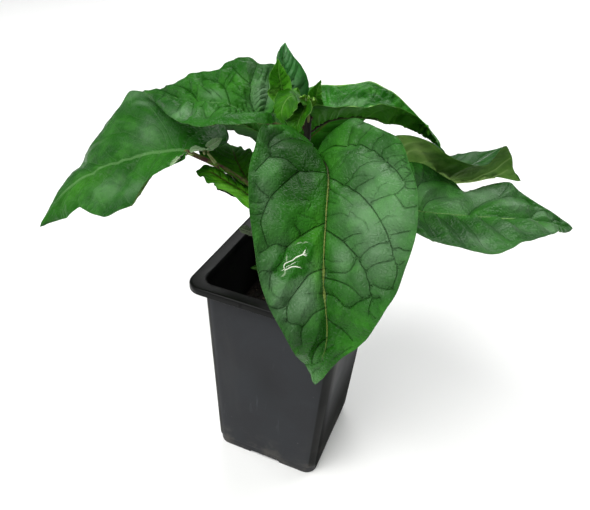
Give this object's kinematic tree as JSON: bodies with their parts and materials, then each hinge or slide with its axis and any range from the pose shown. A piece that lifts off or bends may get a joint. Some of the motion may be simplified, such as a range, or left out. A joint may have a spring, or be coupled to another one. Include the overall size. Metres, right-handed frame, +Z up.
{
  "type": "potted chilli pepper plant",
  "caption": "Young chilli pepper plant with broad quilted glossy leaves, a crinkled growing tip and a side shoot, in a deep square black nursery pot",
  "frame": {"origin": "middle of the pot's underside, on the surface that the pot stands on", "axes": "+Z up; the pot's sides lie along X and Y; -Y is the front, the side over which the largest leaf hangs; +X is to the right seen from the front"},
  "size_m": [0.2694, 0.1764, 0.2404],
  "materials": {
    "pot_plastic": "satin",
    "potting_soil": "matte",
    "stem_skin": "satin",
    "leaf_glossy_dark": "gloss",
    "leaf_quilted_mid": "gloss",
    "leaf_pale_underside": "matte",
    "leaf_shaded": "satin",
    "leaf_young_bright": "satin",
    "leaf_downy_pale": "matte"
  },
  "bodies": {
    "root": {"pot": "pot_plastic", "soil": "potting_soil", "main_stem": "stem_skin", "side_shoot_stalk": "leaf_downy_pale", "leaf_front": "leaf_glossy_dark", "leaf_upper_right": "leaf_quilted_mid", "leaf_upper_left": "leaf_quilted_mid", "leaf_right": "leaf_quilted_mid", "leaf_far_left": "leaf_quilted_mid", "leaf_right_rolled": "leaf_pale_underside", "leaf_low_left": "leaf_young_bright", "leaf_top_back": "leaf_glossy_dark", "leaf_top_young": "leaf_young_bright", "tip_leaf_curled": "leaf_young_bright", "tip_leaf_pointed": "leaf_young_bright", "tip_leaf_drooping": "leaf_young_bright", "tip_leaf_crinkled": "leaf_young_bright", "leaf_back_left": "leaf_shaded", "leaf_inner_left": "leaf_shaded", "leaf_back": "leaf_shaded", "leaf_low_left_small": "leaf_shaded", "side_shoot_leaf_a": "leaf_downy_pale", "side_shoot_leaf_b": "leaf_downy_pale", "side_shoot_strip": "leaf_downy_pale", "low_leaf_grey": "leaf_downy_pale", "low_leaf_green": "leaf_young_bright"}
  },
  "joints": []
}
